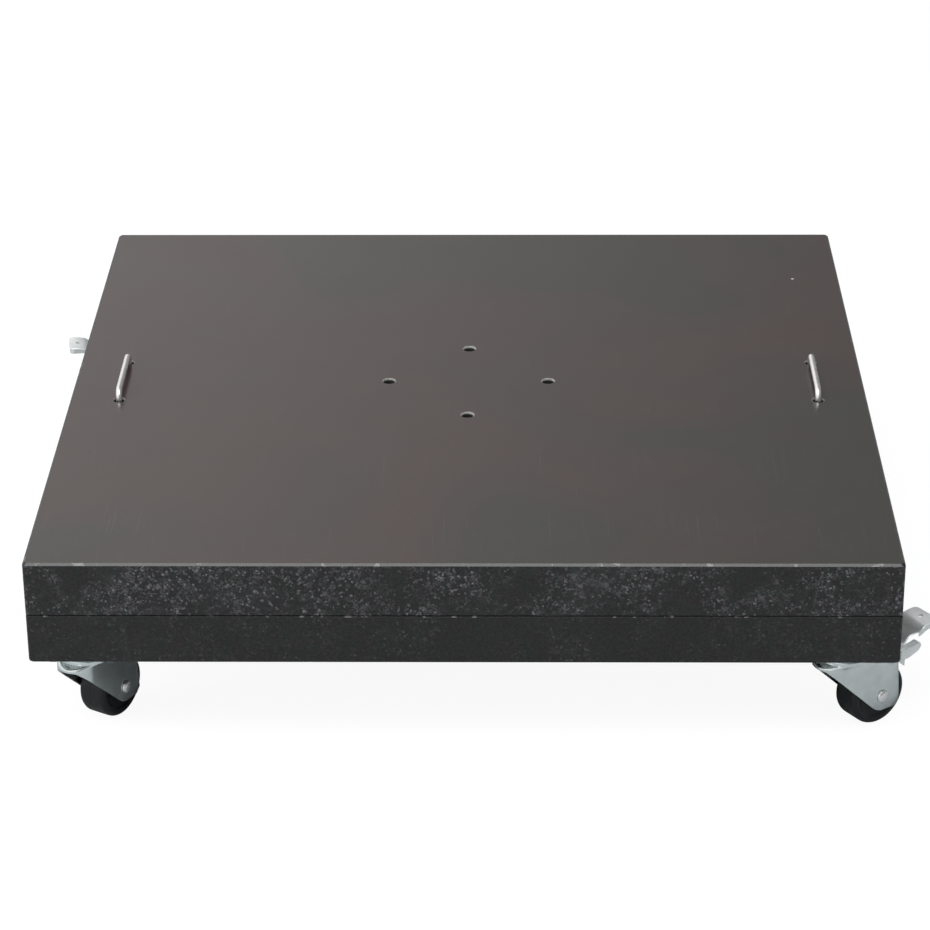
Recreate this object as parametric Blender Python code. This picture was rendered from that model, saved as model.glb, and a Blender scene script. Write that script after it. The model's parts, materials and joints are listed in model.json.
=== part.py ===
"""Rolling granite parasol base: two bonded slabs, two pull-up handles, four braked swivel castors.

Metres, +Z up, floor at Z = 0, slab centred on the Z axis, front edge towards -Y.
"""
import math

import bmesh
import bpy
from mathutils import Matrix, Vector

# ---------------------------------------------------------------- overall sizes
SLAB_SIDE = 0.700
UPPER_T = 0.0467
LOWER_T = 0.0430

# ---------------------------------------------------------------- clearances
FACE_GAP = 0.0003            # between two pieces that touch
RUN_CLEAR = 0.00015          # radial, round piece in its hole
FIT_CLEAR = 0.0003           # radial, loose fit
BOSS_CLEAR = 0.0005          # wheel boss to a fork leg
PEDAL_CLEAR = 0.0006         # pedal to a fork leg

# ---------------------------------------------------------------- slab edges
TOP_CHAMFER = 0.0018
JOINT_CHAMFER = 0.0009
BASE_ROUND = 0.003
CORNER_R = 0.0025

# ---------------------------------------------------------------- bolt holes
BOLT_RADIUS = 0.0707         # hole centres from the slab centre (100 mm square, turned 45 degrees)
BOLT_HOLE_R = 0.0053
BOLT_RIM = 0.0010            # countersunk rim
INSERT_DEPTH = 0.015         # top face to the insert
INSERT_R = 0.0080
INSERT_FLANGE_R = 0.0120
INSERT_FLANGE_T = 0.0030
INSERT_BORE_R = 0.00425
BOLT_END_R = 0.0065
BOLT_END_DEPTH = 0.022

# ---------------------------------------------------------------- pull-up handles
HANDLE_X = 0.307
HANDLE_PITCH = 0.080         # leg to leg
ROD_R = 0.00275
ROD_RISE = 0.0110            # top of the rod above the slab
ROD_BEND = 0.0080
LEG_CLEAR = 0.00225          # radial, rod in the top hole
HANDLE_LIFT = 0.040
COLLAR_WALL = 0.00525
COLLAR_T = 0.0080
COLLAR_CLEAR = 0.0020        # radial, collar in its bore
COLLAR_SHOULDER = 0.014      # top face to the shoulder that stops the collar
LEG_TAIL = 0.0012            # leg below its collar

# ---------------------------------------------------------------- castors
CASTOR_INSET = 0.0405         # slab edge to the swivel axis
CASTORS = (
    ("front_right", 1, -1, 35.0),
    ("front_left", -1, -1, 60.0),
    ("rear_left", -1, 1, 190.0),
    ("rear_right", 1, 1, 205.0),
)
PLATE_SIDE = 0.060
PLATE_T = 0.0022
PLATE_CORNER_R = 0.006
DISH_R = 0.0215
DISH_T = 0.0029
RACE_R = 0.0205
RACE_T = 0.0024
RACE_BALLS = 10
KINGPIN_R = 0.0050
KINGPIN_HEAD_R = 0.0085
KINGPIN_HEAD_T = 0.0030
SCREW_PITCH = 0.046
SCREW_R = 0.0030
SCREW_HEAD_R = 0.0057
SCREW_HEAD_T = 0.0036
SCREW_LENGTH = 0.024

WHEEL_R = 0.0270
WHEEL_W = 0.0255
WHEEL_SIDE_GAP = 0.0015      # tread to the inner face of a fork leg
WHEEL_TOP_DROP = 0.0280      # slab underside to the top of the wheel
TRAIL = 0.0295               # swivel axis to the axle
AXLE_R = 0.0039
AXLE_HEAD_R = 0.0056
AXLE_HEAD_T = 0.0028

SHEET_T = 0.0022             # pressed steel of the fork
CROWN_R = 0.0235
NOSE_OUT = 0.0050            # how far the nose stands proud of the crown
SHOULDER_DROP = 0.0042       # crown top to where the crown starts to turn into the nose
SHOULDER_H = 0.0050
LEG_BEHIND = 0.0185          # axle to the rear edge of a leg
LEG_BELOW = 0.0130           # axle to the lower edge of a leg
LEG_CORNER_R = 0.0050
LEG_LEAN = 0.0050            # how far forward the rear edge leans at the top

PIN_R = 0.0022
PIN_HEAD_R = 0.0040
PIN_HEAD_T = 0.0015
PIN_BEHIND = 0.0080          # axle to the brake pin, along the trail
PEDAL_WALL = 0.0021          # wall of the pedal's pivot tube
PEDAL_TREAD_GAP = 0.0015     # pivot tube to the tread
PEDAL_REACH = 0.0525         # brake pin to the tip of the pedal
PEDAL_TOP = 0.0030           # slab underside to the top of the pedal
PEDAL_HALF = 0.0145
PEDAL_NECK = 0.0070          # half width of the neck below the toe plate
PEDAL_T = 0.0020
PEDAL_CORNER = 0.0040
PEDAL_EYE_R = 0.0022
PEDAL_PRESS = math.radians(12.0)
SHOE_GAP = 0.0004            # shoe to tread with the pedal pressed

# ---------------------------------------------------------------- sizes that follow
LEG_HOLE_R = ROD_R + LEG_CLEAR
COLLAR_R = ROD_R + COLLAR_WALL
COLLAR_BORE_R = COLLAR_R + COLLAR_CLEAR
RACE_BORE_R = KINGPIN_R + 0.0065
FORK_HALF = WHEEL_W / 2.0 + WHEEL_SIDE_GAP + SHEET_T   # outer face of a leg from the wheel's mid plane
NOSE_X = FORK_HALF - CROWN_R - NOSE_OUT                # centre of the round nose
AXLE_DROP = WHEEL_TOP_DROP + WHEEL_R                   # slab underside to the axle
CASTOR_DROP = AXLE_DROP + WHEEL_R                      # slab underside to the floor
FORK_REAR = TRAIL + LEG_BEHIND
PIN_X = TRAIL + PIN_BEHIND
PIN_BOSS_R = PIN_R + PEDAL_WALL
PIN_RISE = math.sqrt((WHEEL_R + PIN_BOSS_R + PEDAL_TREAD_GAP) ** 2 - PIN_BEHIND ** 2)
PIN_DROP = AXLE_DROP - PIN_RISE
PEDAL_TIP = PIN_X + PEDAL_REACH

# ---------------------------------------------------------------- levels
Z_UNDER = CASTOR_DROP
Z_LOWER_TOP = Z_UNDER + LOWER_T
Z_UPPER_BASE = Z_LOWER_TOP + FACE_GAP
Z_TOP = Z_UPPER_BASE + UPPER_T


def clear_scene():
    for ob in list(bpy.data.objects):
        bpy.data.objects.remove(ob, do_unlink=True)


def material(name, colour, metallic, roughness):
    """A plain Principled material."""
    mat = bpy.data.materials.get(name) or bpy.data.materials.new(name)
    mat.use_nodes = True
    shader = mat.node_tree.nodes["Principled BSDF"]
    shader.inputs["Base Color"].default_value = (*colour, 1.0)
    shader.inputs["Metallic"].default_value = metallic
    shader.inputs["Roughness"].default_value = roughness
    return mat


LOOKS = {
    "granite_top": ((0.115, 0.105, 0.100), 0.0, 0.25),
    "granite_base": ((0.035, 0.036, 0.036), 0.0, 0.45),
    "brass_insert": ((0.45, 0.42, 0.36), 1.0, 0.40),
    "stainless": ((0.78, 0.78, 0.77), 1.0, 0.22),
    "collar_steel": ((0.42, 0.42, 0.43), 1.0, 0.40),
    "zinc_plate": ((0.60, 0.62, 0.63), 1.0, 0.30),
    "zinc_race": ((0.50, 0.51, 0.52), 1.0, 0.35),
    "kingpin_steel": ((0.55, 0.56, 0.57), 1.0, 0.35),
    "zinc_fork": ((0.58, 0.61, 0.62), 1.0, 0.28),
    "wheel_black": ((0.016, 0.017, 0.018), 0.0, 0.45),
    "axle_steel": ((0.66, 0.67, 0.68), 1.0, 0.20),
    "zinc_pedal": ((0.66, 0.68, 0.68), 1.0, 0.30),
    "pin_steel": ((0.60, 0.61, 0.62), 1.0, 0.30),
    "screw_zinc": ((0.55, 0.56, 0.55), 1.0, 0.35),
}


# ---------------------------------------------------------------- mesh helpers
def loft(rings, ring_closed=False):
    """Join equal rings of points. Capped at both ends, or joined end to end."""
    bm = bmesh.new()
    rows = [[bm.verts.new(p) for p in ring] for ring in rings]
    count = len(rows[0])
    pairs = list(zip(rows, rows[1:]))
    if ring_closed:
        pairs.append((rows[-1], rows[0]))
    for low, high in pairs:
        for i in range(count):
            j = (i + 1) % count
            bm.faces.new((low[i], low[j], high[j], high[i]))
    if not ring_closed:
        bm.faces.new(rows[0])
        bm.faces.new(rows[-1])
    bmesh.ops.recalc_face_normals(bm, faces=bm.faces)
    return bm


def circle(radius, z, count, x=0.0, y=0.0):
    step = 2.0 * math.pi / count
    return [Vector((x + radius * math.cos(i * step), y + radius * math.sin(i * step), z)) for i in range(count)]


def spun(profile, count, hollow=False):
    """Spin (z, radius) points about Z. hollow joins the last point to the first."""
    return loft([circle(r, z, count) for z, r in profile], ring_closed=hollow)


def rod(radius, z_low, z_high, count=24, x=0.0, y=0.0):
    return loft([circle(radius, z, count, x, y) for z in (z_low, z_high)])


def rounded_square(half, radius, z, steps=4):
    """A square outline with round corners."""
    points = []
    for k in range(4):
        turn = k * math.pi / 2.0
        for i in range(steps + 1):
            angle = turn + i * math.pi / 2.0 / steps
            cx = (half - radius) * (1 if k in (0, 3) else -1)
            cy = (half - radius) * (1 if k in (0, 1) else -1)
            points.append(Vector((cx + radius * math.cos(angle), cy + radius * math.sin(angle), z)))
    return points


def prism(outline, half):
    """Extrude an (x, z) outline along Y, from -half to +half."""
    return loft([[Vector((x, y, z)) for x, z in outline] for y in (-half, half)])


def block(x_low, x_high, half, z_low, z_high):
    return prism([(x_low, z_low), (x_high, z_low), (x_high, z_high), (x_low, z_high)], half)


def along_y(bm):
    """Turn a Z-axis solid so that its axis lies along Y."""
    bmesh.ops.rotate(bm, verts=bm.verts, cent=(0, 0, 0), matrix=Matrix.Rotation(-math.pi / 2.0, 3, "X"))
    return bm


def moved(bm, x=0.0, y=0.0, z=0.0):
    bmesh.ops.translate(bm, verts=bm.verts, vec=(x, y, z))
    return bm


def as_object(bm, name):
    mesh = bpy.data.meshes.new(name)
    bm.to_mesh(mesh)
    bm.free()
    ob = bpy.data.objects.new(name, mesh)
    bpy.context.scene.collection.objects.link(ob)
    return ob


def combine(base, parts, operation):
    """Boolean the parts into base, one at a time, and clean up after each."""
    body = as_object(base, "body")
    for part in parts:
        tool = as_object(part, "tool")
        tool.hide_render = True
        tool.display_type = "WIRE"
        step = body.modifiers.new("step", "BOOLEAN")
        step.operation = operation
        step.solver = "EXACT"
        step.object = tool
        graph = bpy.context.evaluated_depsgraph_get()
        result = bpy.data.meshes.new_from_object(body.evaluated_get(graph))
        body.modifiers.clear()
        body.data = result
        bpy.data.objects.remove(tool, do_unlink=True)
    bm = bmesh.new()
    bm.from_mesh(body.data)
    bpy.data.objects.remove(body, do_unlink=True)
    bmesh.ops.remove_doubles(bm, verts=bm.verts, dist=0.00002)
    bmesh.ops.dissolve_degenerate(bm, edges=bm.edges, dist=0.00002)
    bmesh.ops.dissolve_limit(bm, angle_limit=math.radians(0.3), verts=bm.verts, edges=bm.edges)
    return bm


def cut(base, *tools):
    return combine(base, tools, "DIFFERENCE")


def join(base, *parts):
    return combine(base, parts, "UNION")


def keep(base, *parts):
    return combine(base, parts, "INTERSECT")


def piece(name, bm, look, place=None, origin=(0.0, 0.0, 0.0), smooth=40.0):
    """Store a solid as a named piece. place moves it into the shared frame, origin is its joint point."""
    if place is not None:
        bm.transform(place)
    bmesh.ops.translate(bm, verts=bm.verts, vec=-Vector(origin))
    limit = math.radians(smooth)
    for face in bm.faces:
        face.smooth = True
    for edge in bm.edges:
        if len(edge.link_faces) == 2 and edge.calc_face_angle(0.0) > limit:
            edge.smooth = False
    ob = as_object(bm, name)
    ob.location = origin
    ob.data.materials.append(material(look, *LOOKS[look]))
    return ob


# ---------------------------------------------------------------- slabs
def bolt_points():
    r = BOLT_RADIUS
    return (("back", 0.0, r), ("front", 0.0, -r), ("left", -r, 0.0), ("right", r, 0.0))


def leg_points():
    half = HANDLE_PITCH / 2.0
    return [(side * HANDLE_X, end * half) for side in (-1, 1) for end in (-1, 1)]


def castor_frame(side_x, side_y):
    reach = SLAB_SIDE / 2.0 - CASTOR_INSET
    return side_x * reach, side_y * reach


def screw_points():
    half = SCREW_PITCH / 2.0
    return [(x, y) for x in (-half, half) for y in (-half, half)]


def upper_slab():
    half = SLAB_SIDE / 2.0
    base = Z_UPPER_BASE
    rings = [
        rounded_square(half - JOINT_CHAMFER, CORNER_R, base),
        rounded_square(half, CORNER_R, base + JOINT_CHAMFER),
        rounded_square(half, CORNER_R, Z_TOP - TOP_CHAMFER),
        rounded_square(half - TOP_CHAMFER, CORNER_R, Z_TOP),
    ]
    tools = []
    seat = Z_TOP - INSERT_DEPTH
    for _, x, y in bolt_points():
        profile = [
            (base - 0.01, INSERT_FLANGE_R + FIT_CLEAR),
            (base + INSERT_FLANGE_T + FACE_GAP * 2, INSERT_FLANGE_R + FIT_CLEAR),
            (base + INSERT_FLANGE_T + FACE_GAP * 2, INSERT_R + FIT_CLEAR),
            (seat, INSERT_R + FIT_CLEAR),
            (seat, BOLT_HOLE_R),
            (Z_TOP - BOLT_RIM, BOLT_HOLE_R),
            (Z_TOP + 0.001, BOLT_HOLE_R + BOLT_RIM + 0.001),
        ]
        tools.append(moved(spun(profile, 20), x, y))
    shoulder = Z_TOP - COLLAR_SHOULDER
    for x, y in leg_points():
        profile = [
            (base - 0.01, COLLAR_BORE_R),
            (shoulder, COLLAR_BORE_R),
            (shoulder, LEG_HOLE_R),
            (Z_TOP - 0.0006, LEG_HOLE_R),
            (Z_TOP + 0.001, LEG_HOLE_R + 0.0016),
        ]
        tools.append(moved(spun(profile, 20), x, y))
    return cut(loft(rings), *tools)


def collar_levels():
    """Top and bottom of a collar with the handle down."""
    top = Z_TOP - COLLAR_SHOULDER - HANDLE_LIFT - FACE_GAP
    return top, top - COLLAR_T


def lower_slab():
    half = SLAB_SIDE / 2.0
    rings = []
    for k in range(4):
        angle = k * math.pi / 6.0
        inset = BASE_ROUND * (1.0 - math.sin(angle))
        rings.append(rounded_square(half - inset, CORNER_R, Z_UNDER + BASE_ROUND * (1.0 - math.cos(angle))))
    rings.append(rounded_square(half, CORNER_R, Z_LOWER_TOP - JOINT_CHAMFER))
    rings.append(rounded_square(half - JOINT_CHAMFER, CORNER_R, Z_LOWER_TOP))
    tools = []
    for _, x, y in bolt_points():
        tools.append(rod(BOLT_END_R, Z_LOWER_TOP - BOLT_END_DEPTH, Z_LOWER_TOP + 0.01, 16, x, y))
    pocket = collar_levels()[1] - LEG_TAIL - FACE_GAP
    for x, y in leg_points():
        tools.append(rod(COLLAR_BORE_R, pocket, Z_LOWER_TOP + 0.01, 20, x, y))
    for _, side_x, side_y, _ in CASTORS:
        cx, cy = castor_frame(side_x, side_y)
        for x, y in screw_points():
            tools.append(rod(SCREW_R + FIT_CLEAR, Z_UNDER - 0.01, Z_UNDER + SCREW_LENGTH + 0.001, 10, cx + x, cy + y))
    return cut(loft(rings), *tools)


def bolt_insert():
    """Flanged threaded insert, put in from under the upper slab."""
    base = Z_UPPER_BASE + FACE_GAP
    top = Z_TOP - INSERT_DEPTH - FACE_GAP
    profile = [
        (base, INSERT_BORE_R),
        (base, INSERT_FLANGE_R),
        (base + INSERT_FLANGE_T, INSERT_FLANGE_R),
        (base + INSERT_FLANGE_T, INSERT_R),
        (top, INSERT_R),
        (top, INSERT_BORE_R + 0.0008),
        (top - 0.0008, INSERT_BORE_R),
    ]
    return spun(profile, 20, hollow=True)


# ---------------------------------------------------------------- handles
def handle():
    """U-shaped rod, centred on X = 0, Y = 0."""
    half = HANDLE_PITCH / 2.0
    crest = Z_TOP + ROD_RISE - ROD_R
    tail = collar_levels()[1] - LEG_TAIL
    path = [(-half, tail, 0.0)]
    for k in range(7):
        angle = k * math.pi / 12.0
        y = -half + ROD_BEND * (1.0 - math.cos(angle))
        path.append((y, crest - ROD_BEND + ROD_BEND * math.sin(angle), angle))
    path += [(-y, z, math.pi - angle) for y, z, angle in reversed(path)]
    rings = []
    for y, z, angle in path:
        ring = []
        for i in range(12):
            turn = i * math.pi / 6.0
            off = ROD_R * math.cos(turn)
            ring.append(Vector((ROD_R * math.sin(turn), y - off * math.cos(angle), z + off * math.sin(angle))))
        rings.append(ring)
    return loft(rings)


def collar():
    top, bottom = collar_levels()
    bore = ROD_R + RUN_CLEAR
    edge = 0.0008
    profile = [
        (bottom, bore),
        (bottom, COLLAR_R - edge),
        (bottom + edge, COLLAR_R),
        (top - edge, COLLAR_R),
        (top, COLLAR_R - edge),
        (top, bore),
    ]
    return spun(profile, 16, hollow=True)


# ---------------------------------------------------------------- castor pieces
# Castor frame: Z = 0 at the slab's underside, +X is the trailing direction, Z axis is the swivel.
DISH_LOW = -FACE_GAP - PLATE_T - DISH_T
RACE_TOP = DISH_LOW - FACE_GAP
RACE_LOW = RACE_TOP - RACE_T
CROWN_TOP = RACE_LOW - FACE_GAP
CROWN_LOW = CROWN_TOP - SHEET_T - 0.0001


def top_plate():
    top = -FACE_GAP
    low = top - PLATE_T
    plate = loft([rounded_square(PLATE_SIDE / 2.0, PLATE_CORNER_R, z) for z in (low, top)])
    dish = spun([(DISH_LOW, DISH_R - 0.0030), (DISH_LOW + 0.0008, DISH_R - 0.0012), (low - 0.0010, DISH_R),
                 (low + 0.0010, DISH_R)], 24)
    tools = [rod(KINGPIN_R + RUN_CLEAR, -0.05, 0.05, 20)]
    for x, y in screw_points():
        tools.append(rod(SCREW_R + FIT_CLEAR, -0.05, 0.05, 10, x, y))
    return cut(join(plate, dish), *tools)


def ball_race():
    """Cage ring with its balls showing round the rim."""
    count = RACE_BALLS * 4
    levels = (
        (RACE_LOW, RACE_BORE_R, 0.0),
        (RACE_LOW, RACE_R - 0.0014, 0.3),
        (RACE_LOW + RACE_T * 0.35, RACE_R, 1.0),
        (RACE_LOW + RACE_T * 0.65, RACE_R, 1.0),
        (RACE_TOP, RACE_R - 0.0014, 0.3),
        (RACE_TOP, RACE_BORE_R, 0.0),
    )
    rings = []
    for z, radius, wave in levels:
        ring = []
        for i in range(count):
            turn = 2.0 * math.pi * i / count
            dip = 0.0010 * wave * (0.5 - 0.5 * math.cos(RACE_BALLS * turn))
            ring.append(Vector(((radius - dip) * math.cos(turn), (radius - dip) * math.sin(turn), z)))
        rings.append(ring)
    return loft(rings, ring_closed=True)


def kingpin():
    head_top = CROWN_LOW - FACE_GAP
    head_low = head_top - KINGPIN_HEAD_T
    profile = [
        (head_low, KINGPIN_HEAD_R * 0.55),
        (head_low + KINGPIN_HEAD_T * 0.25, KINGPIN_HEAD_R * 0.82),
        (head_low + KINGPIN_HEAD_T * 0.6, KINGPIN_HEAD_R),
        (head_top, KINGPIN_HEAD_R),
        (head_top, KINGPIN_R),
        (-0.0010, KINGPIN_R),
        (-0.0006, KINGPIN_R - 0.0004),
    ]
    return spun(profile, 16)


def plate_screw():
    head_top = -FACE_GAP - PLATE_T - FACE_GAP
    head_low = head_top - SCREW_HEAD_T
    head = loft([circle(SCREW_HEAD_R - 0.0005, head_low, 6), circle(SCREW_HEAD_R, head_low + 0.0005, 6),
                 circle(SCREW_HEAD_R, head_top, 6)])
    shank = rod(SCREW_R, head_low + 0.001, SCREW_LENGTH, 10)
    return join(head, shank)


def fork_section(radius, blend, shrink, rear, z):
    """One level of the fork: from a round crown (blend 0) to a round-nosed channel (blend 1)."""
    arc = 16
    side = 3
    end = 2
    half = FORK_HALF - shrink
    crown = radius - shrink
    points = []
    for i in range(arc + 1):
        angle = math.pi / 2.0 + math.pi * i / arc
        channel = Vector((NOSE_X + half * math.cos(angle), half * math.sin(angle)))
        points.append((Vector((crown * math.cos(angle), crown * math.sin(angle))), channel))
    rim = []
    for k in range(1, side + 1):
        rim.append(Vector((NOSE_X + (rear - NOSE_X) * k / side, -half)))
    for k in range(1, end):
        rim.append(Vector((rear, -half + 2.0 * half * k / end)))
    for k in range(side, 0, -1):
        rim.append(Vector((NOSE_X + (rear - NOSE_X) * k / side, half)))
    for k, channel in enumerate(rim):
        angle = 1.5 * math.pi + math.pi * (k + 1) / (len(rim) + 1)
        points.append((Vector((crown * math.cos(angle), crown * math.sin(angle))), channel))
    ring = []
    for round_point, channel in points:
        p = round_point.lerp(channel, blend)
        ring.append(Vector((p.x, p.y, z)))
    return ring


def fork_solid(shrink, top, rear, bottom):
    """Round crown above, round-nosed channel below. shrink makes the inner face of the sheet."""
    start = CROWN_TOP - SHOULDER_DROP - shrink
    levels = (
        (top, CROWN_R - 0.0028, 0.0),
        (top - 0.0008, CROWN_R - 0.0009, 0.0),
        (top - 0.0022, CROWN_R, 0.0),
        (start, CROWN_R, 0.0),
        (start - 0.30 * SHOULDER_H, CROWN_R, 0.18),
        (start - 0.63 * SHOULDER_H, CROWN_R, 0.60),
        (start - SHOULDER_H, CROWN_R, 1.0),
        (bottom, CROWN_R, 1.0),
    )
    return loft([fork_section(radius, blend, shrink, rear, z) for z, radius, blend in levels])


def fork_outline():
    """Side view of the fork: open above, trimmed along a slope below, round at the axle."""
    nose = NOSE_X - FORK_HALF - 0.0002
    brow = CROWN_TOP - SHOULDER_DROP - 0.65 * SHOULDER_H
    low = -AXLE_DROP - LEG_BELOW
    points = [(nose - 0.0138, 0.0), (nose - 0.0138, brow + 0.0132), (nose, brow)]
    points += [(TRAIL - 0.0080, low + 0.0029), (TRAIL - 0.0040, low)]
    cx, cz = FORK_REAR - LEG_CORNER_R, low + LEG_CORNER_R
    for k in range(5):
        angle = -math.pi / 2.0 + k * math.pi / 8.0
        points.append((cx + LEG_CORNER_R * math.cos(angle), cz + LEG_CORNER_R * math.sin(angle)))
    points.append((FORK_REAR - LEG_LEAN, 0.0))
    return points


def fork():
    low = -AXLE_DROP - LEG_BELOW
    shell = fork_solid(0.0, CROWN_TOP, FORK_REAR + 0.004, low - 0.010)
    hollow = fork_solid(SHEET_T, CROWN_LOW, FORK_REAR + 0.008, low - 0.020)
    for bm in (shell, hollow):
        bmesh.ops.triangulate(bm, faces=bm.faces)
    inner = FORK_HALF - SHEET_T
    rear_gap = block(CROWN_R - 0.0004, FORK_REAR + 0.040, inner, low - 0.030, 0.0)
    tools = [
        hollow,
        rear_gap,
        rod(KINGPIN_R + RUN_CLEAR, -0.05, 0.05, 20),
        moved(along_y(rod(AXLE_R + RUN_CLEAR, -0.05, 0.05, 20)), TRAIL, 0.0, -AXLE_DROP),
        moved(along_y(rod(PIN_R + RUN_CLEAR, -0.05, 0.05, 12)), PIN_X, 0.0, -PIN_DROP),
    ]
    return cut(keep(shell, prism(fork_outline(), 0.05)), *tools)


def wheel():
    half = WHEEL_W / 2.0
    boss = FORK_HALF - SHEET_T - BOSS_CLEAR
    bore = AXLE_R + RUN_CLEAR
    side = [
        (boss, bore),
        (boss, AXLE_R + 0.0039),
        (half - 0.0016, AXLE_R + 0.0049),
        (half - 0.0020, WHEEL_R - 0.0078),
        (half - 0.0004, WHEEL_R - 0.0063),
        (half, WHEEL_R - 0.0032),
        (half - 0.0010, WHEEL_R - 0.0011),
        (half - 0.0034, WHEEL_R),
    ]
    profile = side + [(-a, r) for a, r in reversed(side)]
    return along_y(spun(profile, 28, hollow=True))


def rivet(radius, half, head_r, head_t, count):
    """A pin with a domed head at each end, along Y."""
    start = half + FACE_GAP
    side = [
        (start, radius),
        (start, head_r),
        (start + head_t * 0.45, head_r * 0.96),
        (start + head_t * 0.82, head_r * 0.72),
        (start + head_t, head_r * 0.34),
    ]
    profile = [(-a, r) for a, r in reversed(side)] + side
    return along_y(spun(profile, count))


def sheet(path, thickness):
    """Outline of a bent sheet that follows an (x, z) path, path on its upper face."""
    lower = []
    for i, (x, z) in enumerate(path):
        before = path[max(i - 1, 0)]
        after = path[min(i + 1, len(path) - 1)]
        dx, dz = after[0] - before[0], after[1] - before[1]
        size = math.hypot(dx, dz)
        lower.append((x + thickness * dz / size, z - thickness * dx / size))
    return path + list(reversed(lower))


def swung_back(x, z):
    """A side-view point turned about the brake pin from pressed to released."""
    dx, dz = x - PIN_X, z + PIN_DROP
    c, s = math.cos(PEDAL_PRESS), math.sin(PEDAL_PRESS)
    return PIN_X + dx * c - dz * s, -PIN_DROP + dx * s + dz * c


def brake_pedal():
    """Toe plate, release lip, brake shoe and pivot tube in one pressed piece."""
    inner = FORK_HALF - SHEET_T - PEDAL_CLEAR
    top = -PEDAL_TOP
    tip = PEDAL_TIP
    px, pz = PIN_X, -PIN_DROP
    path = [
        (px - 0.0010, pz + 0.0040), (px + 0.0070, pz + 0.0038), (px + 0.0150, pz + 0.0036),
        (px + 0.0215, pz + 0.0043), (tip - 0.0265, top - 0.0112), (tip - 0.0228, top - 0.0075),
        (tip - 0.0196, top - 0.0040), (tip - 0.0158, top - 0.0016), (tip - 0.0110, top - 0.0005),
        (tip - 0.0060, top), (tip - 0.0012, top),
    ]
    arm = prism(sheet(path[:8], PEDAL_T), PEDAL_NECK)
    toe = prism(sheet(path[4:], PEDAL_T), PEDAL_HALF)
    outline = [
        (tip - 0.0290, -PEDAL_NECK + 0.0003), (tip - 0.0228, -PEDAL_HALF + 0.0022),
        (tip - 0.0212, -PEDAL_HALF + 0.0006), (tip - 0.0185, -PEDAL_HALF), (tip - PEDAL_CORNER, -PEDAL_HALF),
        (tip - 0.0012, -PEDAL_HALF + 0.0012), (tip, -PEDAL_HALF + PEDAL_CORNER),
    ]
    outline += [(x, -y) for x, y in reversed(outline)]
    plan = loft([[Vector((x, y, z)) for x, y in outline] for z in (pz - 0.020, 0.0)])
    lip = prism([(tip - 0.0028, top), (tip - 0.0008, top), (tip, top - 0.0010), (tip, top - 0.0055),
                 (tip - 0.0018, top - 0.0055)], PEDAL_HALF)
    skirt = [
        (tip - 0.0210, top - 0.0060), (tip - 0.0196, top - 0.0041), (tip - 0.0158, top - 0.0017),
        (tip - 0.0110, top - 0.0006), (tip - 0.0060, top - 0.0001), (tip - 0.0012, top - 0.0001),
        (tip - 0.0004, top - 0.0052), (tip - 0.0110, top - 0.0056), (tip - 0.0155, top - 0.0072),
        (tip - 0.0190, top - 0.0100), (tip - 0.0220, top - 0.0116),
    ]
    skirts = []
    for side in (-1, 1):
        skirts.append(moved(prism(skirt, 0.0009), 0.0, side * (PEDAL_HALF - 0.0009), 0.0))
    head = keep(join(toe, lip, *skirts), plan)
    cx, cz = swung_back(TRAIL, -AXLE_DROP)
    reach = WHEEL_R + SHOE_GAP
    shoe = [(px + 0.0190, pz + 0.0037), (px + 0.0030, pz + 0.0037)]
    for k in range(7):
        x = px + 0.0040 + 0.0025 * k
        shoe.append((x, cz + math.sqrt(reach * reach - (x - cx) * (x - cx))))
    ear = [
        (px + 0.0130, pz + 0.0022), (px + 0.0130, pz - 0.0068), (px + 0.0205, pz - 0.0073),
        (px + 0.0316, pz - 0.0035), (px + 0.0340, pz - 0.0014), (px + 0.0350, pz + 0.0012),
        (px + 0.0342, pz + 0.0034), (px + 0.0320, pz + 0.0043), (px + 0.0270, pz + 0.0026),
        (px + 0.0190, pz + 0.0022),
    ]
    ear_half = (inner - 0.0004 - PEDAL_NECK + 0.0012) / 2.0
    ears = [moved(prism(ear, ear_half), 0.0, side * (inner - 0.0004 - ear_half), 0.0) for side in (-1, 1)]
    tube = moved(along_y(rod(PIN_BOSS_R, -inner, inner, 16)), px, 0.0, pz)
    body = join(arm, head, prism(shoe, inner - 0.0020), tube, *ears)
    bore = moved(along_y(rod(PIN_R + RUN_CLEAR, -0.05, 0.05, 12)), px, 0.0, pz)
    eye = rod(PEDAL_EYE_R, -0.05, 0.0, 12, tip - 0.0085, 0.0)
    return cut(body, bore, eye)


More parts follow.
